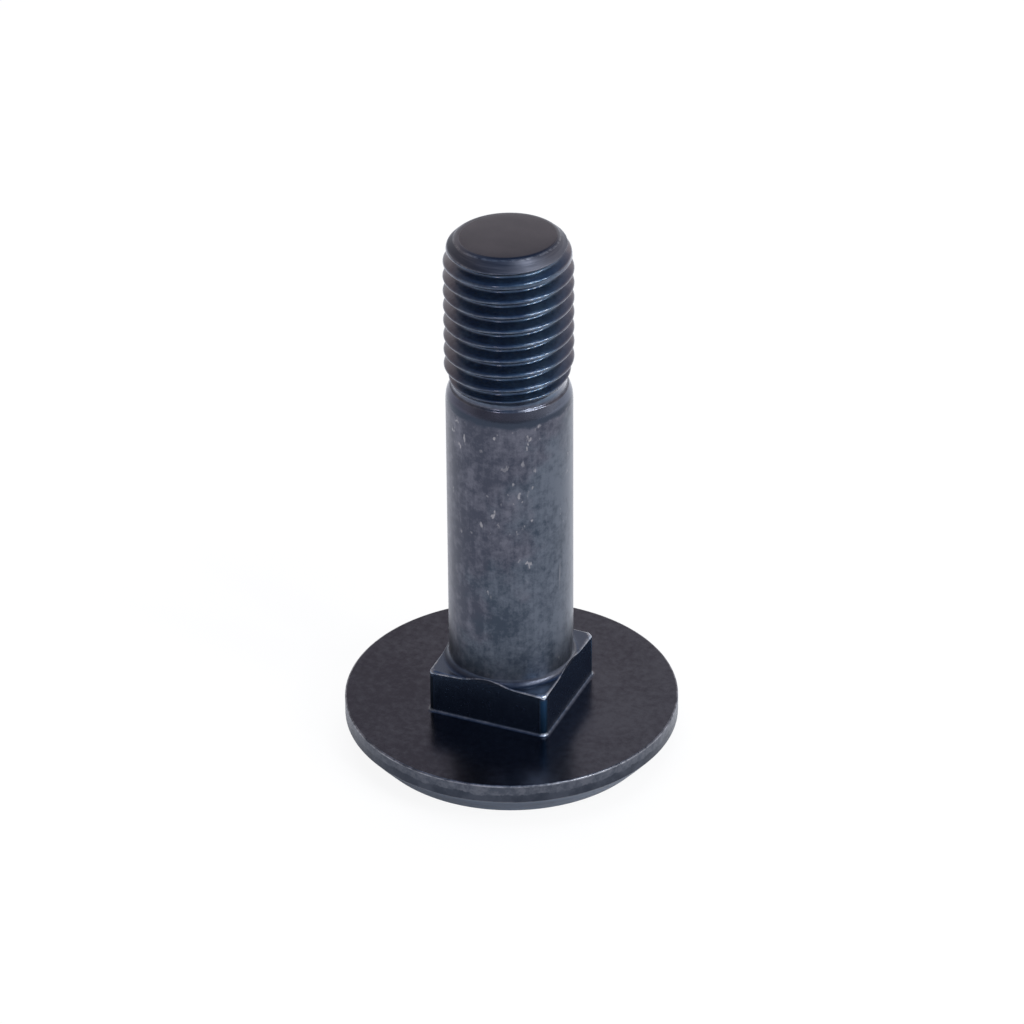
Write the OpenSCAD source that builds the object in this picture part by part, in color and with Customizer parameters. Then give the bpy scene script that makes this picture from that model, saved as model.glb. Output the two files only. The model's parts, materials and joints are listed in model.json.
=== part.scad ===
// Carriage bolt: a flat round head, a square neck, a plain shank and a rolled right-hand thread.
// Forged as one piece. It stands on its head with the thread up.
// The origin is on the axis, in the bearing face under the head.

/* [Head] */
// Diameter of the head over its upright rim
head_d = 41.5; // [34:0.1:50]
// Height of the whole head, from the crown to the bearing face
head_h = 5.5; // [4.5:0.1:8]
// Height of the upright rim, its edge break included
rim_h = 2.35; // [1.2:0.05:3.2]
// Diameter of the flat crown that the bolt stands on
crown_d = 36; // [28:0.1:40]
// Edge break where the rim meets the bearing face
rim_break = 0.2; // [0.1:0.05:0.6]

/* [Neck] */
// Height of the square neck above the bearing face
neck_h = 5.9; // [4:0.1:10]
// How much wider the neck is across its flats than the shank
neck_over = 0.2; // [0.06:0.02:1]
// Radius of the neck's upright corners
neck_corner = 0.6; // [0.4:0.1:2]
// Radius of the fillet at the neck's foot
neck_fillet = 0.4; // [0.2:0.05:1]

/* [Shank] */
// Diameter of the plain shank
shank_d = 15.4; // [14:0.1:17]
// Height of the top of the plain shank above the bearing face
shank_top = 42.6; // [25:0.1:48]
// Radius of the fillet where the shank leaves the neck
shank_fillet = 0.9; // [0.2:0.05:1.4]
// Height of the taper from the shank down to the thread's blank
taper_h = 2.4; // [1:0.1:4]

/* [Thread] */
// Length of the bolt under its head
bolt_l = 65; // [58:0.5:90]
// Diameter over the thread's crests
thread_d = 15.7; // [13:0.05:18]
// Pitch of the thread
pitch = 2; // [1.5:0.25:2.5]
// Height over which the thread runs out, from its full depth to nothing
runout_h = 2; // [1:0.1:6]
// Angle at which the thread's spiral starts, seen from above
start_angle = 259; // [0:1:360]

/* [Point] */
// How much smaller the end flat is across than the thread's root
point_under = 1.05; // [0.3:0.05:3]
// Height of the steep bevel round the end flat
bevel_h = 1.45; // [0.5:0.05:2]
// How much smaller the foot of that bevel is across than the thread's crests
bevel_under = 1.1; // [0.4:0.1:2]
// Height of the gentler taper below the bevel
point_taper_h = 2.25; // [1:0.05:4]

/* [Hidden] */

// Overlap that joins one form to the next
weld = 0.2;
neck_w = shank_d + neck_over;
shank_r = shank_d / 2;

// Metric 60 degree profile: crest and root flats with a straight flank on either side
thread_depth = 0.6134 * pitch;
crest_w = pitch / 8;
flank_h = thread_depth * tan(30);
root_w = pitch - crest_w - 2 * flank_h;
crest_r = thread_d / 2;
root_r = crest_r - thread_depth;
// A thread is rolled up from a blank of about its pitch diameter
blank_r = crest_r - 0.3248 * pitch;
taper_top = shank_top + taper_h;
point_r = root_r - point_under / 2;
bevel_r = crest_r - bevel_under / 2;

// Facets in one turn of the thread
turn_steps = 40;
// Heights of the profile's four corners above the start of each turn
corner_z = [0, root_w, root_w + flank_h, root_w + flank_h + crest_w];
// The spiral makes its first turn or so inside the shank, and leaves the taper's top inside a narrow step
hidden_turns = 1.2;
step_w = 0.1;
spiral_z = taper_top - hidden_turns * pitch;
start_r = blank_r - step_w;
// Above this height the bevel has cut the whole thread away
bare_h = bevel_h * (root_r - point_r) / (bevel_r - point_r);
bare_z = bolt_l - bare_h;
rungs = ceil((bare_z - spiral_z) / pitch * turn_steps) + turn_steps;

function clamp(v, low, high) = max(low, min(high, v));

// Radius that the bevel and taper of the point leave at a height
function turned_r(z) =
    z > bolt_l - bevel_h
    ? point_r + (bevel_r - point_r) * (bolt_l - z) / bevel_h
    : bevel_r + (crest_r - bevel_r) * (bolt_l - bevel_h - z) / point_taper_h;

// Radius of a corner of the profile, with the run-out at one end and the point at the other
function corner_r(z, full_r) =
    min(start_r + (full_r - start_r) * clamp((z - taper_top) / runout_h, 0, 1), turned_r(z));

// Corners past the thread close up under the end flat and never reach it
function squeezed(z) = z < bare_z ? z : bare_z + bare_h * (z - bare_z) / (z - bare_z + bare_h);

function around(r, step, z) =
    let (a = start_angle + 360 * step / turn_steps)
    [r * cos(a), r * sin(a), z];

// Concave quarter round in the corner of two legs, which reach back into both of its neighbours
module cove(r) {
    difference() {
        translate([-weld, -weld])
            square(r + weld);
        // Set in a little, so that the arc meets both legs at an angle
        translate([r * 0.98, r * 0.98])
            circle(r, $fn = 48);
    }
}

module rounded_square(w, r) {
    square([w, w - 2 * r], center = true);
    square([w - 2 * r, w], center = true);
    for (x = [-1, 1], y = [-1, 1])
        translate([x, y] * (w / 2 - r))
            circle(r, $fn = 48);
}

module head() {
    rotate_extrude($fn = 160)
        polygon([
            [0, 0],
            [head_d / 2 - rim_break, 0],
            [head_d / 2, -rim_break],
            [head_d / 2, -rim_h],
            [crown_d / 2, -head_h],
            [0, -head_h],
        ]);
}

module neck() {
    translate([0, 0, -weld])
        linear_extrude(neck_h + weld)
            rounded_square(neck_w, neck_corner);
}

// Fillet at the foot of the neck: four straight runs and four corners
module neck_foot() {
    for (side = [0:3])
        rotate(90 * side) {
            translate([neck_w / 2, neck_w / 2 - neck_corner, 0])
                rotate([90, 0, 0])
                    linear_extrude(neck_w - 2 * neck_corner)
                        cove(neck_fillet);
            translate([neck_w / 2 - neck_corner, neck_w / 2 - neck_corner, 0])
                rotate_extrude(angle = 90, $fn = 96)
                    translate([neck_corner, 0])
                        cove(neck_fillet);
        }
}

module shank() {
    rotate_extrude($fn = 96)
        polygon([
            [0, neck_h - weld],
            [shank_r, neck_h - weld],
            [shank_r, shank_top],
            [blank_r, taper_top],
            [0, taper_top],
        ]);
}

// Fillet at the foot of the shank, cut off flush with the flats of the neck
module shank_foot() {
    intersection() {
        translate([0, 0, neck_h])
            rotate_extrude($fn = 96)
                translate([shank_r, 0])
                    cove(shank_fillet);
        linear_extrude(neck_h + shank_fillet + weld)
            rounded_square(neck_w, neck_corner);
    }
}

// One spiral skin: each rung holds the four corners of the profile, and the last corner of a rung
// meets the first corner of the rung one turn later. A ring and a flat close each end.
module thread() {
    base = 4 * rungs;
    top = base + turn_steps;
    last = rungs - 1;
    first_top = last - turn_steps;
    points = concat(
        [for (t = [0:last], j = [0:3])
            let (z = spiral_z + pitch * t / turn_steps + corner_z[j])
            around(corner_r(squeezed(z), j < 2 ? root_r : crest_r), t, squeezed(z))],
        [for (i = [0:turn_steps - 1]) around(start_r, i, spiral_z - weld)],
        [for (i = [0:turn_steps - 1]) around(point_r, first_top + i, bolt_l)]
    );
    skin = concat(
        [for (t = [0:last - 1], j = [0:2]) [4 * t + j, 4 * t + j + 1, 4 * t + j + 5, 4 * t + j + 4]],
        [for (t = [0:first_top - 1])
            [4 * t + 3, 4 * (t + turn_steps), 4 * (t + turn_steps + 1), 4 * (t + 1) + 3]]
    );
    foot = concat(
        [for (i = [0:turn_steps - 2]) [base + i, 4 * i, 4 * (i + 1), base + i + 1]],
        [for (p = [[base + turn_steps - 1, base], [base, 0], [0, 1], [1, 2], [2, 3], [3, 4 * turn_steps]])
            [4 * (turn_steps - 1), p[1], p[0]]]
    );
    tip = concat(
        [for (i = [1:turn_steps - 1])
            [4 * (first_top + i) + 3, top + i, top + (i + 1) % turn_steps, 4 * (first_top + i + 1) + 3]],
        [for (p = [[4 * first_top + 7, 4 * first_top + 3], [4 * first_top + 3, 4 * last],
                   [4 * last, 4 * last + 1], [4 * last + 1, 4 * last + 2],
                   [4 * last + 2, 4 * last + 3], [4 * last + 3, top]])
            [top + 1, p[0], p[1]]]
    );
    ends = [
        [for (i = [0:turn_steps - 1]) base + i],
        [for (i = [turn_steps - 1:-1:0]) top + i],
    ];
    polyhedron(points, concat(skin, foot, tip, ends));
}

module bolt() {
    color([0.16, 0.17, 0.2]) {
        head();
        neck();
        neck_foot();
        shank();
        shank_foot();
        thread();
    }
}

bolt();
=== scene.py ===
# Carriage bolt in black-finished steel, standing on its head.
import json
import math

import bpy
from mathutils import Matrix, Vector


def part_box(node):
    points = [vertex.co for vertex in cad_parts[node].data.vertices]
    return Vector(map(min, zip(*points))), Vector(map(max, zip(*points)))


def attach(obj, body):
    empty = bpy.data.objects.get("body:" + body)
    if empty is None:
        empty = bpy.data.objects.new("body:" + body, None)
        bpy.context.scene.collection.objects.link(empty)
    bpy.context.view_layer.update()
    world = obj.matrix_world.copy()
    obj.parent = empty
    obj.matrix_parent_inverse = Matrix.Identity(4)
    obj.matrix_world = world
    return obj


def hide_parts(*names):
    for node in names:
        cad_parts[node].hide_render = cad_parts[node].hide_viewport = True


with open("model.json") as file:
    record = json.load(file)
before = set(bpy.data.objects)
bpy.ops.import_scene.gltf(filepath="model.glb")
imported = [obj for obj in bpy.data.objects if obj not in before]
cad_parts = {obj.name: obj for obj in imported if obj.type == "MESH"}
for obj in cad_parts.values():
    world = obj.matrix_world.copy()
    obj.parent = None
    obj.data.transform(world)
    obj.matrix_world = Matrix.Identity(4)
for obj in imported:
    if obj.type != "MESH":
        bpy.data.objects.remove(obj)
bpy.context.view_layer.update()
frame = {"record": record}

# Blank
# One slug of steel, cold forged in a die: flat head, square neck, round shank and tapered shoulder.
# The die leaves small fillets in the inner corners and soft edges on the outer ones.
mm = 0.001
mounts = {mount["name"]: mount for mount in frame["record"]["mounts"]}
low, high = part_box("bolt")
crown_z = low.z
tip_z = high.z

head_r = min(high.x, high.y)
crown_r = 18.0 * mm
crown_edge = 0.5 * mm
crown_bow = 0.18 * mm
bow_radius = 12 * mm
rim_low = -2.35 * mm
rim_low_edge = 0.12 * mm
rim_top_edge = 0.2 * mm

shank_r = mounts["shank"]["dims"]["r_mm"] * mm
shank_top = 42.6 * mm
shank_fillet = 0.9 * mm
shoulder_lift = 0.2 * mm
shoulder_round = 1.5 * mm
mid_taper_in = 0.09 * mm
mid_taper_up = 1.05 * mm
mid_taper_round = 3 * mm
taper_top = 44.7 * mm
taper_edge = 0.4 * mm

neck_top = mounts["square_neck"]["dims"]["length_mm"] * mm
neck_over = 0.1 * mm
neck_half = shank_r + neck_over
neck_corner = 0.6 * mm
neck_edge = 0.16 * mm
corner_gain = 2.2
neck_foot = 0.4 * mm
neck_foot_reach = 1.2 * mm

# A metric thread's blank and its root lie at these shares of the pitch below the crests
crest_r = mounts["thread"]["dims"]["r_mm"] * mm
pitch = 2.0 * mm
blank_r = crest_r - 0.3248 * pitch
root_r = crest_r - 0.6134 * pitch
foot_step = 0.22 * mm
start_r = blank_r - foot_step
foot_z = taper_top + foot_step

flat_under = 0.8 * mm
bevel_under = 0.48 * mm
bevel_h = 1.45 * mm
flat_r = root_r - flat_under
bevel_foot_r = crest_r - bevel_under
bevel_foot_z = tip_z - bevel_h
bevel_slope = (bevel_foot_r - flat_r) / (tip_z - bevel_foot_z)
cap_drop = 0.35 * mm
end_dome = 0.1 * mm
end_slant = 0.05
slant_turn = math.radians(-40)

columns = 192
quarter = columns // 4
arc_steps = quarter // 3
corner_steps = 6
edge_guard = 0.06 * mm


def round_ring(r, z):
    angles = [2 * math.pi * i / columns for i in range(columns)]
    return [(r * math.cos(a), r * math.sin(a), z) for a in angles]


def square_point(i, offset):
    """Point of column i on the neck's outline, which is moved out by the offset."""
    half = neck_half + offset
    corner = neck_corner + offset
    flat = half - corner
    side, k = divmod(i, quarter)
    if k <= arc_steps:
        x, y = half, flat * k / arc_steps
    elif k <= 2 * arc_steps:
        a = math.pi / 2 * (k - arc_steps) / arc_steps
        x, y = flat + corner * math.cos(a), flat + corner * math.sin(a)
    else:
        x, y = flat * (quarter - k) / arc_steps, half
    c, s = (1, 0, -1, 0)[side], (0, 1, 0, -1)[side]
    return Vector((c * x - s * y, s * x + c * y, 0))


def square_ring(offset, z):
    return [(*square_point(i, offset).xy, z) for i in range(columns)]


def soft_path(corners):
    """Points along a path of (across, up, radius, wear), with an arc in each corner that has a radius."""
    path = []
    for i, (across, up, radius, wear) in enumerate(corners):
        here = Vector((across, up))
        if not radius:
            path.append((here, wear))
            continue
        back = (Vector(corners[i - 1][:2]) - here).normalized()
        on = (Vector(corners[i + 1][:2]) - here).normalized()
        half_angle = back.angle(on) / 2
        reach = radius / math.tan(half_angle)
        centre = here + (back + on).normalized() * radius / math.sin(half_angle)
        first = here + back * reach - centre
        sweep = first.angle_signed(here + on * reach - centre)
        path.append((here + back * (reach + edge_guard), 0))
        for k in range(corner_steps + 1):
            spoke = first.copy()
            spoke.rotate(Matrix.Rotation(-sweep * k / corner_steps, 2))
            path.append((centre + spoke, wear))
        path.append((here + on * (reach + edge_guard), 0))
    return path


def shelf_z(r):
    """Height of the neck's top face, which sweeps up into the shank."""
    inside = max(0.0, min(shank_fillet, shank_r + shank_fillet - r))
    return neck_top + shank_fillet - math.sqrt(shank_fillet ** 2 - inside ** 2)


rings = []
ring_wear = []


def lay_ring(points, wear=0.0):
    rings.append(points)
    ring_wear.append(wear)


bow_side = Vector((crown_z - rim_low, crown_r - head_r)).normalized() * -crown_bow
bow_point = Vector(((crown_r + head_r) / 2, (crown_z + rim_low) / 2)) + bow_side
head_path = soft_path([
    (crown_r / 3, crown_z, 0, 0),
    (crown_r * 2 / 3, crown_z, 0, 0),
    (crown_r, crown_z, crown_edge, 0.3),
    (*bow_point, bow_radius, 0),
    (head_r, rim_low, rim_low_edge, 0.55),
    (head_r, 0, rim_top_edge, 1),
    (head_r * 0.85, 0, 0, 0),
    (head_r * 0.7, 0, 0, 0),
])
neck_path = soft_path([
    (neck_foot_reach, 0, 0, 0),
    (0, 0, neck_foot, 0.5),
    (0, neck_top * 0.6, 0, 0),
])
for point, wear in head_path:
    lay_ring(round_ring(point.x, point.y), wear)
for point, wear in neck_path:
    lay_ring(square_ring(point.x, point.y), wear)

# The neck's upper edge rises where the shank's fillet is cut off flush with each flat
edge_steps = 5
shelf_steps = 14
edge_sizes = []
for i in range(columns):
    from_corner = abs(i % quarter - 1.5 * arc_steps) / arc_steps
    widened = neck_edge * (1 + corner_gain * max(0, 1 - from_corner))
    edge_sizes.append(min(widened, (square_point(i, 0).length - shank_r) / 2))
shelf_rim = [square_point(i, -edge_size) for i, edge_size in enumerate(edge_sizes)]
shelf_tops = [shelf_z(point.length) for point in shelf_rim]
lay_ring([
    (*square_point(i, 0).xy, shelf_tops[i] - edge_sizes[i] - edge_guard)
    for i in range(columns)
])
for k in range(edge_steps + 1):
    a = math.pi / 2 * k / edge_steps
    points = []
    for i, edge_size in enumerate(edge_sizes):
        inset = square_point(i, -edge_size * (1 - math.cos(a)))
        points.append((*inset.xy, shelf_tops[i] - edge_size * (1 - math.sin(a))))
    lay_ring(points, 1)
for k in range(1, shelf_steps + 1):
    inward = 1 - (1 - k / shelf_steps) ** 2
    points = []
    for i, point in enumerate(shelf_rim):
        r = point.length + (shank_r - point.length) * inward
        heading = math.atan2(point.y, point.x) % (2 * math.pi)
        heading += (2 * math.pi * i / columns - heading) * inward
        points.append((r * math.cos(heading), r * math.sin(heading), shelf_z(r)))
    lay_ring(points)

shank_path = soft_path([
    (shank_r, neck_top + shank_fillet + 0.2 * mm, 0, 0),
    (shank_r, (neck_top + shank_top) / 2, 0, 0),
    (shank_r, shank_top + shoulder_lift, shoulder_round, 0),
    (shank_r - mid_taper_in, shank_top + mid_taper_up, mid_taper_round, 0),
    (blank_r, taper_top, taper_edge, 0.42),
    (start_r, foot_z, 0, 0),
])
for point, wear in shank_path:
    lay_ring(round_ring(point.x, point.y), wear)

# The end is cropped a little out of square, so the cut slants through the cone of the bevel
shank_rings = len(rings)
cap_steps = 9
worn_cap_steps = (1, 2, 3)
inner_share = 0.95
face_shares = (0.7, 0.45, 0.2)
slant_squash = bevel_slope * end_slant


def end_point(i, share):
    """Point of the end face, at a share of the way from its middle to its edge."""
    a = 2 * math.pi * i / columns
    lean = math.cos(a - slant_turn)
    r = flat_r * (1 + slant_squash) / (1 + slant_squash * lean) * share
    z = tip_z - end_slant * (flat_r - r * lean) + end_dome * (1 - share ** 2)
    return Vector((r * math.cos(a), r * math.sin(a), z))


def cap_point(i):
    """Point of the bevel, a little way down from the edge of the end face."""
    edge = end_point(i, 1)
    out = edge.xy * (1 + bevel_slope * cap_drop / edge.xy.length)
    return Vector((*out, edge.z - cap_drop))


for k in range(cap_steps + 1):
    t = k / cap_steps
    points = []
    for i in range(columns):
        bend = end_point(i, 1) * 2 * t * (1 - t)
        points.append(cap_point(i) * (1 - t) ** 2 + bend + end_point(i, inner_share) * t ** 2)
    lay_ring(points, 0.8 if k in worn_cap_steps else 0.2)
for share in face_shares:
    lay_ring([end_point(i, share) for i in range(columns)])

vertices = [point for ring in rings for point in ring]
crown_centre = len(vertices)
tip_centre = crown_centre + 1
vertices += [(0, 0, crown_z), end_point(0, 0)]
faces = []
for k in range(len(rings) - 1):
    if k == shank_rings - 1:
        continue
    for i in range(columns):
        n = (i + 1) % columns
        faces.append((k * columns + i, k * columns + n, (k + 1) * columns + n, (k + 1) * columns + i))
last = (len(rings) - 1) * columns
for i in range(columns):
    n = (i + 1) % columns
    faces.append((crown_centre, n, i))
    faces.append((last + i, last + n, tip_centre))
blank_mesh = bpy.data.meshes.new("bolt_blank")
blank_mesh.from_pydata(vertices, [], faces)
wear_values = [wear for wear in ring_wear for _ in range(columns)] + [0.0, 0.0]
blank_mesh.attributes.new("wear", "FLOAT", "POINT").data.foreach_set("value", wear_values)
bolt = bpy.data.objects.new("bolt_body", blank_mesh)
bpy.context.scene.collection.objects.link(bolt)


# Thread
# Rolled into the blank between dies, so the crests stand proud of the size the blank had.
# The last turn runs out at the shoulder, and the bevel of the point takes the first one away.
class Wire:
    """A socket of a node tree. Operators on it add Math nodes, and make adds any other node."""

    def __init__(self, tree, socket):
        self.tree = tree
        self.socket = socket

    def make(self, kind, settings=None, inputs=None, output=0):
        node = self.tree.nodes.new(kind)
        for name, value in (settings or {}).items():
            if name == "stops":
                elements = node.color_ramp.elements
                while len(elements) < len(value):
                    elements.new(1.0)
                for element, (position, colour) in zip(elements, value):
                    element.position = position
                    element.color = (*colour, 1)
            else:
                setattr(node, name, value)
        for key, value in (inputs or {}).items():
            if isinstance(value, Wire):
                self.tree.links.new(value.socket, node.inputs[key])
            else:
                node.inputs[key].default_value = value
        return Wire(self.tree, node.outputs[output])

    def out(self, name):
        return Wire(self.tree, self.socket.node.outputs[name])

    def math(self, operation, *values):
        return self.make("ShaderNodeMath", {"operation": operation}, dict(enumerate(values)))

    def __add__(self, other):
        return self.math("ADD", self, other)

    def __radd__(self, other):
        return self.math("ADD", other, self)

    def __sub__(self, other):
        return self.math("SUBTRACT", self, other)

    def __rsub__(self, other):
        return self.math("SUBTRACT", other, self)

    def __mul__(self, other):
        return self.math("MULTIPLY", self, other)

    def __rmul__(self, other):
        return self.math("MULTIPLY", other, self)

    def __truediv__(self, other):
        return self.math("DIVIDE", self, other)

    def __rtruediv__(self, other):
        return self.math("DIVIDE", other, self)

    def step(self, start, end):
        """Smooth rise from 0 at start to 1 at end."""
        settings = {"interpolation_type": "SMOOTHSTEP"}
        inputs = {"Value": self, "From Min": start, "From Max": end}
        return self.make("ShaderNodeMapRange", settings, inputs)

    def between(self, start, full, fade, end):
        """Smooth rise from 0 at start to 1 at full, and fall from there at fade to 0 at end."""
        return self.step(start, full) * (1 - self.step(fade, end))


crest_phase = 1.37 * mm
spiral_z = crest_phase + pitch * math.floor((foot_z - pitch - crest_phase) / pitch)
thread_sizes = {
    "Pitch": pitch,
    "Crest Radius": crest_r,
    "Root Radius": root_r,
    "Start Radius": start_r,
    "Spiral Height": spiral_z,
    "Foot Height": foot_z,
    "Bare Height": 0.3 * mm,
    "Run-out": 2.0 * mm,
    "Late Start": 0.7 * mm,
    "Late Turn": math.radians(23),
    "Bevel Foot Radius": bevel_foot_r,
    "Bevel Foot Height": bevel_foot_z,
    "Bevel Slope": bevel_slope,
    "Point Taper": 2.25 * mm,
    "Flat Radius": flat_r,
    "End Height": tip_z,
    "Cap Drop": cap_drop,
    "End Slant": end_slant,
    "Slant Turn": slant_turn,
}
spiral_turns = math.ceil((tip_z - spiral_z) / pitch)
profile_steps = 22
flank_angle = math.radians(30)
crest_round = 0.36 * mm
root_round = 0.34 * mm
runout_round = 0.15 * mm
runout_margin = 0.2 * mm
cap_fade = 0.9 * mm
bevel_round = 0.25 * mm
point_round = 0.1 * mm
crest_worn = 0.48
bevel_worn = 0.6

tree = bpy.data.node_groups.new("roll_thread", "GeometryNodeTree")
tree.interface.new_socket("Geometry", in_out="INPUT", socket_type="NodeSocketGeometry")
tree.interface.new_socket("Geometry", in_out="OUTPUT", socket_type="NodeSocketGeometry")
size_sockets = {
    name: tree.interface.new_socket(name, in_out="INPUT", socket_type="NodeSocketFloat")
    for name in thread_sizes
}
material_socket = tree.interface.new_socket("Finish", in_out="INPUT", socket_type="NodeSocketMaterial")
group_in = tree.nodes.new("NodeGroupInput")
group_out = tree.nodes.new("NodeGroupOutput")
size = {name: Wire(tree, group_in.outputs[name]) for name in thread_sizes}
blank = Wire(tree, group_in.outputs["Geometry"])

# A flat strip, one unit long for each turn and one wide for the profile, is wound into the spiral
strip = blank.make("GeometryNodeMeshGrid", inputs={
    "Size X": spiral_turns,
    "Size Y": 1.0,
    "Vertices X": spiral_turns * columns + 1,
    "Vertices Y": profile_steps + 1,
})
on_strip = blank.make("ShaderNodeSeparateXYZ", inputs={0: blank.make("GeometryNodeInputPosition")})
turn = on_strip.out("X") + spiral_turns / 2
across = on_strip.out("Y") + 0.5
angle = turn * (2 * math.pi)
climb = size["Spiral Height"] + size["Pitch"] * (turn + across)

# Metric profile with rounded crests and roots
from_crest = blank.math("ABSOLUTE", across - 0.5) * size["Pitch"]
crest_half = size["Pitch"] / 16
flank = size["Crest Radius"] - (from_crest - crest_half) / math.tan(flank_angle)
crested = blank.math("SMOOTH_MIN", flank, size["Crest Radius"], crest_round)
cut = blank.math("SMOOTH_MAX", crested, size["Root Radius"], root_round)

# Run-out at the shoulder, which starts later on one side
late = blank.math("MAXIMUM", blank.math("COSINE", angle - size["Late Turn"]), 0)
runout_start = size["Foot Height"] + size["Bare Height"] + size["Late Start"] * late * late
ramp = climb.step(runout_start, runout_start + size["Run-out"])
above_start = size["Crest Radius"] - size["Start Radius"] + runout_margin
below_start = size["Root Radius"] - size["Start Radius"] - runout_margin
ceiling = size["Start Radius"] + above_start * ramp
bottom = size["Start Radius"] + below_start * ramp
filled = blank.math("SMOOTH_MIN", cut, ceiling, ramp * runout_round)
rolled = blank.math("MAXIMUM", filled, bottom)

# Point: a gentle lead and a steep bevel, up to where the slanting cut leaves the cap
lean = blank.math("COSINE", angle - size["Slant Turn"])
squash = size["Bevel Slope"] * size["End Slant"]
edge_r = size["Flat Radius"] * (1 + squash) / (1 + squash * lean)
edge_drop = size["End Slant"] * (size["Flat Radius"] - edge_r * lean)
cap_z = size["End Height"] - edge_drop - size["Cap Drop"]
cap_r = edge_r + size["Bevel Slope"] * size["Cap Drop"]
faded = climb.step(cap_z - cap_fade, cap_z)
closed = rolled + (size["Crest Radius"] - rolled) * faded
below_bevel = size["Bevel Foot Height"] - climb
bevel = size["Bevel Foot Radius"] + below_bevel * size["Bevel Slope"]
lead_slope = (size["Crest Radius"] - size["Bevel Foot Radius"]) / size["Point Taper"]
lead = size["Bevel Foot Radius"] + below_bevel * lead_slope
turned = blank.math("SMOOTH_MIN", bevel, lead, bevel_round)
pointed = blank.math("SMOOTH_MIN", closed, turned, (1 - faded) * point_round)
past_cap = blank.math("GREATER_THAN", climb, cap_z)
radius = pointed * (1 - past_cap) + cap_r * past_cap
height = blank.math("MINIMUM", blank.math("MAXIMUM", climb, size["Foot Height"]), cap_z)
on_spiral = blank.make("ShaderNodeCombineXYZ", inputs={
    "X": radius * blank.math("COSINE", angle),
    "Y": radius * blank.math("SINE", angle),
    "Z": height,
})

# Crests and the foot of the bevel are where a nut rubs
on_crest = (1 - from_crest.step(0.06 * mm, 0.26 * mm)) * ramp
below_point = lead.step(bevel_foot_r + 0.02 * mm, bevel_foot_r + 0.12 * mm)
at_bevel_foot = 1 - blank.math("ABSOLUTE", below_bevel).step(0.04 * mm, 0.2 * mm)
bevel_cuts = blank.math("GREATER_THAN", closed, turned)
thread_wear = blank.math(
    "MAXIMUM", on_crest * crest_worn * below_point, at_bevel_foot * bevel_cuts * bevel_worn)

skin = blank.make(
    "GeometryNodeStoreNamedAttribute", {"data_type": "FLOAT", "domain": "POINT"},
    {"Geometry": strip, "Name": "wear", "Value": thread_wear})
skin = blank.make("GeometryNodeSetPosition", inputs={"Geometry": skin, "Position": on_spiral})
joined = blank.make("GeometryNodeJoinGeometry", inputs={"Geometry": blank})
tree.links.new(skin.socket, joined.socket.node.inputs["Geometry"])
whole = blank.make("GeometryNodeMergeByDistance", inputs={"Geometry": joined, "Distance": 1e-6})
whole = blank.make("GeometryNodeSetShadeSmooth", inputs={"Geometry": whole, "Shade Smooth": True})
whole = blank.make("GeometryNodeRealizeInstances", inputs={"Geometry": whole})
whole = blank.make("GeometryNodeSetMaterial", inputs={
    "Geometry": whole, "Material": Wire(tree, group_in.outputs["Finish"])})
tree.links.new(whole.socket, group_out.inputs["Geometry"])

# Black oxide
# The steel is blackened in a hot bath, then oiled.
# Handling wears the edges bright and rubs the shank back to grey.
# Some light and shade is painted into the colour as well: on the head, thread, neck, rim, shank, shoulder,
# fillet and corners.
shades = {
    "head": ((0.052, 0.055, 0.075), (0.098, 0.109, 0.136)),
    "low rim": ((0.034, 0.040, 0.053), (0.056, 0.063, 0.080)),
    "top rim": ((0.062, 0.070, 0.088), (0.106, 0.113, 0.133)),
    "crown bevel": ((0.020, 0.044, 0.086), (0.062, 0.110, 0.192)),
    "neck": ((0.056, 0.082, 0.130), (0.024, 0.058, 0.122)),
    "neck corner": ((0.012, 0.034, 0.067), (0.022, 0.062, 0.126)),
    "cool shank": ((0.044, 0.056, 0.076), (0.106, 0.122, 0.150)),
    "warm shank": ((0.052, 0.057, 0.077), (0.116, 0.119, 0.146)),
    "taper": ((0.068, 0.070, 0.095), (0.106, 0.119, 0.152)),
    "thread front": ((0.021, 0.037, 0.076), (0.050, 0.086, 0.134)),
    "thread side": ((0.044, 0.045, 0.070), (0.084, 0.086, 0.120)),
    "point": ((0.056, 0.062, 0.082), (0.120, 0.128, 0.156)),
    "end": ((0.046, 0.052, 0.072), (0.070, 0.075, 0.098)),
}
# Painted shade of the rim's far left
left_rim_shade = (0.030, 0.033, 0.044)
# Painted shade of the neck's left corners
shaded_corner = (0.012, 0.018, 0.028)
# Painted shade in the fillet at the shank's foot
fillet_shade = (0.026, 0.036, 0.058)
taper_foot = (0.038, 0.047, 0.066)
# Painted light on the neck's top face
lit_neck_shelf = (0.100, 0.130, 0.180)
pale_speck = (0.36, 0.35, 0.36)
pale_scratch = (0.26, 0.26, 0.28)
worn_steel = (0.26, 0.27, 0.30)
bare_steel = (0.40, 0.45, 0.52)

finish = bpy.data.materials.new("black_oxide")
finish.use_nodes = True
finish_tree = finish.node_tree
shader = finish_tree.nodes["Principled BSDF"]
spot = Wire(finish_tree, shader.outputs[0]).make("ShaderNodeTexCoord", output="Object")
spot_parts = spot.make("ShaderNodeSeparateXYZ", inputs={0: spot})
x = spot_parts.out("X")
y = spot_parts.out("Y")
z = spot_parts.out("Z")
from_axis = spot.math("SQRT", x * x + y * y)
corner_reach = spot.math("ABSOLUTE", x) + spot.math("ABSOLUTE", y)
rightward = x * 0.92 + y * 0.39
rubbed_edge = spot.make("ShaderNodeAttribute", {"attribute_name": "wear"}, output="Fac")


def noise(scale, detail=3, rough=0.6, stretch=(1, 1, 1)):
    mapped = spot.make("ShaderNodeMapping", inputs={"Vector": spot, "Scale": stretch})
    return spot.make("ShaderNodeTexNoise", inputs={
        "Vector": mapped, "Scale": scale, "Detail": detail, "Roughness": rough})


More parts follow.
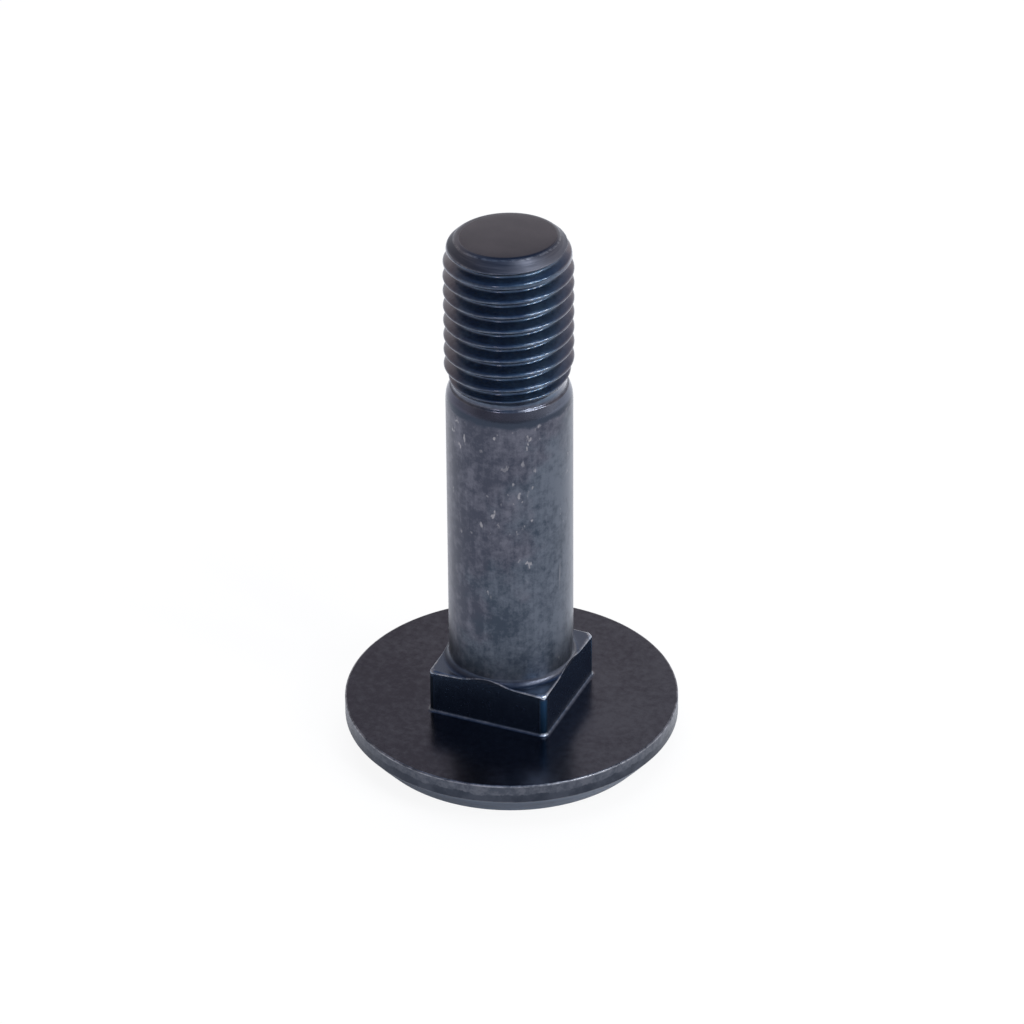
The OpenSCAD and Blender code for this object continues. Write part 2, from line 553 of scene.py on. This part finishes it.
def blend(factor, a, b):
    """Colour from a to b, each of them a wire or plain red, green and blue."""
    ends = [end if isinstance(end, Wire) else (*end, 1) for end in (a, b)]
    inputs = {"Factor": factor, 6: ends[0], 7: ends[1]}
    return factor.make("ShaderNodeMix", {"data_type": "RGBA"}, inputs, output=2)


patches = noise(420, detail=5, rough=0.65)
blotch = noise(170, detail=4)
cloud = noise(110, rough=0.5)
grain = noise(1500)
fleck = noise(1000, detail=4, rough=0.7)
streak = noise(900, stretch=(1, 1, 0.12))
forge_line = noise(500, detail=4, rough=0.65, stretch=(0.15, 0.15, 3.5)).step(0.35, 0.65)

# Masks of the forms, from the crown up
on_bevel = 1 - z.step(rim_low - 0.3 * mm, rim_low)
on_rim = from_axis.step(head_r - 0.25 * mm, head_r - 0.15 * mm) * z.step(rim_low - 0.2 * mm, rim_low)
on_neck = z.between(0, 0.3 * mm, neck_top - 0.1 * mm, neck_top + 0.3 * mm)
neck_sum = 2 * neck_half
below_top = 1 - z.step(neck_top - 0.9 * mm, neck_top - 0.5 * mm)
at_corner = on_neck * below_top * corner_reach.step(neck_sum - 0.8 * mm, neck_sum - 0.54 * mm)
on_shelf = z.between(neck_top - 0.25 * mm, neck_top - 0.15 * mm, neck_top + 0.2 * mm, neck_top + 0.5 * mm)
on_shelf = on_shelf * from_axis.step(shank_r + 0.5 * mm, shank_r + 0.9 * mm)
in_fillet = z.between(neck_top, neck_top + 0.15 * mm, neck_top + 0.6 * mm, neck_top + 1.1 * mm)
ragged_z = z + (patches - 0.5) * (1.6 * mm) + (blotch - 0.5) * (1.6 * mm)
past_shank = ragged_z.step(shank_top - 0.2 * mm, shank_top + 0.4 * mm)
on_shank = z.step(neck_top + 0.5 * mm, neck_top + 1.2 * mm) * (1 - past_shank)
on_shank = on_shank * (1 - from_axis.step(shank_r + 0.1 * mm, shank_r + 0.3 * mm))
on_taper = past_shank * (1 - z.step(taper_top - 0.1 * mm, taper_top))
on_thread = z.between(taper_top + 0.3 * mm, taper_top + 0.8 * mm, tip_z - 0.9 * mm, tip_z - 0.6 * mm)
on_point = z.step(bevel_foot_z - 0.2 * mm, bevel_foot_z + 0.2 * mm)
on_point = on_point * from_axis.step(flat_r - 0.1 * mm, flat_r + 0.1 * mm)
on_end = z.step(tip_z - 1.2 * mm, tip_z - 1.0 * mm)
on_end = on_end * (1 - from_axis.step(flat_r - 0.2 * mm, flat_r + 0.2 * mm))
lit_side = rightward.step(-4 * mm, 8 * mm)

# Oxide of the head, the thread, the neck and the end, with painted light and shade laid over it
# The head is painted lighter towards its lit right side as painted light, over random clouds and flecks
head_tone = 0.13 + (cloud - 0.5) * 1.4 + (fleck - 0.5) * 2.6 + (rightward + 20 * mm) * 17
oxide_and_painted_light = blend(head_tone, *shades["head"])
# The thread is painted lighter towards its lit right side as painted light, and greyer at its sides, where
# it turns away from the camera, as a painted reflection; its flecks and patches are random tone
thread_tone = 0.3 + lit_side * 0.5 + (fleck - 0.5) * 2.0 + (patches - 0.5) * 1.6
thread_front = blend(thread_tone, *shades["thread front"])
thread_side = blend(thread_tone, *shades["thread side"])
off_middle = spot.math("ABSOLUTE", rightward).step(5 * mm, 7.4 * mm)
oxide_and_painted_light = blend(on_thread, oxide_and_painted_light, blend(off_middle, thread_front, thread_side))
# Painted shade: the neck's right face is painted darker and bluer than its lit faces
shaded_right_face = rightward.step(4.0 * mm, 5.0 * mm)
oxide_and_painted_light = blend(on_neck, oxide_and_painted_light, blend(shaded_right_face, *shades["neck"]))
# Painted sheen and shade on the neck's corners: the lit ones bluish and lighter upwards, the left ones
# near black
up_corner = z.step(0.8 * mm, neck_top - 0.4 * mm)
corner_sheen_and_shade = blend(up_corner, *shades["neck corner"])
corner_sheen_and_shade = blend(rightward.step(-6 * mm, 0), shaded_corner, corner_sheen_and_shade)
oxide_and_painted_light = blend(at_corner, oxide_and_painted_light, corner_sheen_and_shade)
# Painted light: the neck's top face is painted lighter and bluer
oxide_and_painted_light = blend(on_shelf, oxide_and_painted_light, lit_neck_shelf)
end_tone = 0.5 + (blotch - 0.5) * 1.4 + (patches - 0.5) * 1.4
oxide_and_painted_light = blend(on_end, oxide_and_painted_light, blend(end_tone, *shades["end"]))

# Grey of the rubbed shank, with specks and fine scratches, painted lighter on the lit right side and
# darker on the left as painted light and shade
shank_tone = 0.47 + (blotch - 0.5) * 1.9 + (fleck - 0.5) * 2.6 + (streak - 0.5) * 1.5
shank_tone = shank_tone + (lit_side - 0.4) * 0.55
mid_shank = 26 * mm
warm = (noise(130) + (z - mid_shank) * 8 - rightward * 28).step(0.42, 0.62)
grey = blend(warm, blend(shank_tone, *shades["cool shank"]), blend(shank_tone, *shades["warm shank"]))
rubbed = noise(230, detail=2, rough=0.5) + (z - mid_shank) * 4
speck = noise(1300, detail=2, rough=0.5, stretch=(1, 1, 0.6)).step(0.62, 0.70) * rubbed.step(0.53, 0.64)
grey = blend(speck * 0.6, grey, pale_speck)
scratch = noise(1500, detail=1, rough=0.5, stretch=(1, 1, 0.05)).step(0.70, 0.75) * cloud.step(0.5, 0.6)
grey = blend(scratch * 0.35, grey, pale_scratch)
colour = blend(on_shank, oxide_and_painted_light, grey)

# Rim, bevels and shoulder in bands, with lines the dies leave on the bevels; the rim's darker bands are
# painted shade, and the shoulder's lit side painted light
# Painted shade: the rim's lower half is painted darker than its top, and its far left darker still
trim = (z + (patches - 0.5) * (1.6 * mm)).step(rim_low * 0.58, rim_low * 0.5)
shaded_low_rim = blend(patches.step(0.35, 0.65), *shades["low rim"])
top_rim = blend(fleck.step(0.35, 0.65), *shades["top rim"])
far_left = 1 - rightward.step(-16 * mm, -6 * mm)
rim_shade = blend(far_left * 0.35, blend(trim, shaded_low_rim, top_rim), left_rim_shade)
colour = blend(on_rim, colour, rim_shade)
colour = blend(on_bevel, colour, blend(forge_line, *shades["crown bevel"]))
# The shoulder is painted lighter towards its lit right side as painted light, and darker at its foot
up_taper = z.step(shank_top + 0.8 * mm, shank_top + 1.3 * mm)
taper_shade = blend(up_taper, taper_foot, blend(lit_side, *shades["taper"]))
colour = blend(on_taper, colour, taper_shade)
colour = blend(on_point, colour, blend(forge_line, *shades["point"]))
# Painted shade: the fillet at the shank's foot is painted darker away from the lit right side
colour = blend(in_fillet * (1 - lit_side) * 0.8, colour, fillet_shade)

# Bright wear on the edges, and most of all on the neck's corners, whose chips are also painted highlights
rub = grain.step(0.38, 0.62) * 0.6 + patches.step(0.45, 0.62) * 0.6
colour = blend(rubbed_edge.step(0.3, 0.9) * rub, colour, worn_steel)
top_chip = rubbed_edge.step(0.5, 0.9) * corner_reach.step(neck_sum - 1.45 * mm, neck_sum - 1.1 * mm)
top_chip = top_chip * z.step(neck_top - 0.7 * mm, neck_top - 0.5 * mm) * (1 - on_shank)
foot_chip = z.between(0.04 * mm, 0.12 * mm, 0.36 * mm, 0.5 * mm)
foot_chip = foot_chip * corner_reach.step(neck_sum - 0.65 * mm, neck_sum - 0.45 * mm)
foot_chip = foot_chip * (1 - from_axis.step(11.4 * mm, 11.8 * mm))
# The corner chips are bare-steel wear, painted brighter on the lit right side as painted highlights
chip = spot.math("MAXIMUM", top_chip, foot_chip) * (0.15 + rightward.step(0, 3 * mm) * 0.85)
colour = blend(chip * 0.8, colour, bare_steel)
finish_tree.links.new(colour.socket, shader.inputs["Base Color"])

roughness = 0.22 + on_shank * 0.10 + on_rim * 0.14 + on_bevel * 0.1 + on_point * 0.14
roughness = roughness + on_neck * 0.04 + at_corner * 0.3 + on_thread * 0.1 + (grain - 0.5) * 0.08
roughness = roughness + in_fillet * 0.12
finish_tree.links.new(roughness.socket, shader.inputs["Roughness"])
shader.inputs["Metallic"].default_value = 1.0
oil = on_thread * (1 - on_point) * 0.8
finish_tree.links.new(oil.socket, shader.inputs["Coat Weight"])
shader.inputs["Coat Roughness"].default_value = 0.045
shader.inputs["Coat IOR"].default_value = 1.5
grit = grain * (1 - on_neck * 0.8)
bump = spot.make("ShaderNodeBump", inputs={"Strength": 0.12, "Distance": 0.02 * mm, "Height": grit})
finish_tree.links.new(bump.socket, shader.inputs["Normal"])

modifier = bolt.modifiers.new("roll_thread", "NODES")
modifier.node_group = tree
for name, value in thread_sizes.items():
    modifier[size_sockets[name].identifier] = value
modifier[material_socket.identifier] = finish
bpy.context.view_layer.update()
rolled_bolt = bolt.evaluated_get(bpy.context.evaluated_depsgraph_get())
finished_mesh = bpy.data.meshes.new_from_object(rolled_bolt)
bolt.modifiers.remove(modifier)
bolt.data = finished_mesh
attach(bolt, "root")
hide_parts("bolt")

# Floor
# A plain white sheet that the bolt stands on.
# In the steel, its part behind the camera mirrors as dark as the room there.
floor_half = 3.0
room_edge = 0.25
room_edge_soft = 0.005
pale_wall = (0.95, 0.95, 0.97)
dim_room = (0.24, 0.26, 0.32)
room_share = 0.75
white_to_camera = 0.9
white_in_steel = 0.12
view_turn = math.radians(23.117)
to_side = Vector((math.cos(view_turn), math.sin(view_turn), 0)) * floor_half
to_front = Vector((math.sin(view_turn), -math.cos(view_turn), 0)) * floor_half
level = Vector((0, 0, crown_z))
floor_mesh = bpy.data.meshes.new("floor")
floor_mesh.from_pydata([
    level - to_side + to_front,
    level + to_side + to_front,
    level + to_side - to_front,
    level - to_side - to_front,
], [], [(0, 1, 2, 3)])
floor = bpy.data.objects.new("floor", floor_mesh)
bpy.context.scene.collection.objects.link(floor)
paper = bpy.data.materials.new("white_paper")
paper.use_nodes = True
paper_tree = paper.node_tree
matte = paper_tree.nodes["Principled BSDF"]
matte.inputs["Base Color"].default_value = (0.85, 0.85, 0.85, 1)
matte.inputs["Roughness"].default_value = 0.9
matte.inputs["Specular IOR Level"].default_value = 0.0
sheet = Wire(paper_tree, matte.outputs[0])
light_path = sheet.make("ShaderNodeLightPath")
mirrored = sheet.math("MAXIMUM", light_path.out("Is Glossy Ray"), light_path.out("Is Transmission Ray"))
seen_white = sheet.math(
    "MAXIMUM", light_path.out("Is Camera Ray") * white_to_camera, mirrored * white_in_steel)
white_glow = sheet.make("ShaderNodeEmission", inputs={"Color": (1, 1, 1, 1), "Strength": 1.0})
lit_sheet = sheet.make("ShaderNodeMixShader", inputs={0: seen_white, 1: sheet, 2: white_glow})
on_sheet = sheet.make("ShaderNodeSeparateXYZ", inputs={
    0: sheet.make("ShaderNodeTexCoord", output="Object")})
sheet_x = on_sheet.out("X")
sheet_y = on_sheet.out("Y")
ahead = sheet_x * math.sin(view_turn) - sheet_y * math.cos(view_turn)
from_bolt = sheet.math("SQRT", sheet_x * sheet_x + sheet_y * sheet_y)
room_shade = blend((ahead / from_bolt).step(0.1, 0.7) * room_share, pale_wall, dim_room)
room_glow = sheet.make("ShaderNodeEmission", inputs={"Color": room_shade, "Strength": 1.0})
in_room = mirrored * ahead.step(room_edge - room_edge_soft, room_edge + room_edge_soft)
paper_look = sheet.make("ShaderNodeMixShader", inputs={0: in_room, 1: lit_sheet, 2: room_glow})
paper_tree.links.new(paper_look.socket, paper_tree.nodes["Material Output"].inputs["Surface"])
floor_mesh.materials.append(paper)

# Studio light
# A pale room with a bluish ceiling, a dim side with a window behind the camera, and a doorway at the back.
# Three window panes and a high lamp stand at the camera's right, a weak warm lamp at its left.
window_blue = (0.50, 0.70, 1.0)
doorway_blue = (0.20, 0.34, 0.52)
doorway_share = 0.45
right_gain = 0.18
world = bpy.data.worlds.new("studio")
bpy.context.scene.world = world
world.use_nodes = True
sky_tree = world.node_tree
background = sky_tree.nodes["Background"]
direction = Wire(sky_tree, background.outputs[0]).make("ShaderNodeTexCoord", output="Generated")
compass = direction.make("ShaderNodeSeparateXYZ", inputs={0: direction})
upward = compass.out("Z")
walls = direction.make("ShaderNodeValToRGB", {"stops": [
    (0.0, pale_wall),
    (0.42, (0.82, 0.71, 0.68)),
    (0.54, (0.60, 0.52, 0.51)),
    (0.66, (0.38, 0.38, 0.44)),
    (0.86, (0.18, 0.26, 0.42)),
    (1.0, (0.15, 0.24, 0.42)),
]}, {"Fac": upward})
to_camera = compass.out("X") * math.sin(view_turn) - compass.out("Y") * math.cos(view_turn)
to_right = compass.out("X") * math.cos(view_turn) + compass.out("Y") * math.sin(view_turn)
behind_camera = to_camera.step(0.1, 0.7) * (1 - upward.step(0.3, 0.7))
sky = blend(behind_camera * room_share, walls, dim_room)
window = to_camera.step(0.6, 0.8) * upward.between(0.3, 0.45, 0.7, 0.85)
sky = blend(window, sky, window_blue)
doorway = (to_right * 0.61 - to_camera * 0.59 + upward * 0.53).step(0.95, 0.985)
sky = blend(doorway * doorway_share, sky, doorway_blue)
brightness = 1 + to_right * right_gain
sky = sky.make("ShaderNodeVectorMath", {"operation": "SCALE"}, {0: sky, "Scale": brightness})
sky_tree.links.new(sky.socket, background.inputs["Color"])
background.inputs["Strength"].default_value = 1.0


def away(turn_deg, rise_deg):
    """Direction from the bolt, turned right of the camera and raised, in degrees."""
    a = view_turn + math.radians(turn_deg)
    e = math.radians(rise_deg)
    return Vector((math.sin(a) * math.cos(e), -math.cos(a) * math.cos(e), math.sin(e)))


def lamp(name, turn, rise, distance, width, height, power, colour=(1, 1, 1)):
    """Area lamp that faces the middle of the bolt from a direction in degrees, with its size in metres."""
    data = bpy.data.lights.new(name, "AREA")
    data.shape = "RECTANGLE"
    data.size = width
    data.size_y = height
    data.energy = power
    data.color = colour
    light = bpy.data.objects.new(name, data)
    bpy.context.scene.collection.objects.link(light)
    light.location = Vector((0, 0, 0.03)) + away(turn, rise) * distance
    light.rotation_euler = away(turn, rise).to_track_quat("Z", "Y").to_euler()
    return light


for pane, pane_turn in enumerate((38, 52, 66)):
    lamp("window_pane_%d" % pane, pane_turn, rise=30, distance=1.2, width=0.09, height=0.34, power=2.4)
lamp("side_lamp", -24, rise=27, distance=1.2, width=0.2, height=0.2, power=1.2, colour=(1.0, 0.86, 0.88))
lamp("high_lamp", 46, rise=56, distance=1.2, width=0.36, height=0.2, power=2.2)
overhead = lamp("overhead", 180, rise=70, distance=1.5, width=1.2, height=1.2, power=16)
overhead.visible_glossy = False

# Camera
# A long lens from the photograph's side, a third of the way up.
# It leans by a fraction of a degree and aims a little beside the bolt's axis.
camera_rise = 31.98
camera_distance = 658.9 * mm
camera_roll = math.radians(-0.4188)
side_shift = 0.22 * mm
aim = Vector((0, 0, 26.29 * mm))
back = away(0, camera_rise)
flat_right = Vector((math.cos(view_turn), math.sin(view_turn), 0))
flat_up = back.cross(flat_right)
right = flat_right * math.cos(camera_roll) + flat_up * math.sin(camera_roll)
top = back.cross(right)
eye = aim + right * side_shift + back * camera_distance
camera_data = bpy.data.cameras.new("camera")
camera_data.sensor_fit = "HORIZONTAL"
camera_data.sensor_width = 36.0
camera_data.lens = 190.0
camera = bpy.data.objects.new("camera", camera_data)
bpy.context.scene.collection.objects.link(camera)
camera.matrix_world = Matrix((
    (right.x, top.x, back.x, eye.x),
    (right.y, top.y, back.y, eye.y),
    (right.z, top.z, back.z, eye.z),
    (0, 0, 0, 1),
))
bpy.context.scene.camera = camera
bpy.context.scene.view_settings.view_transform = "Standard"
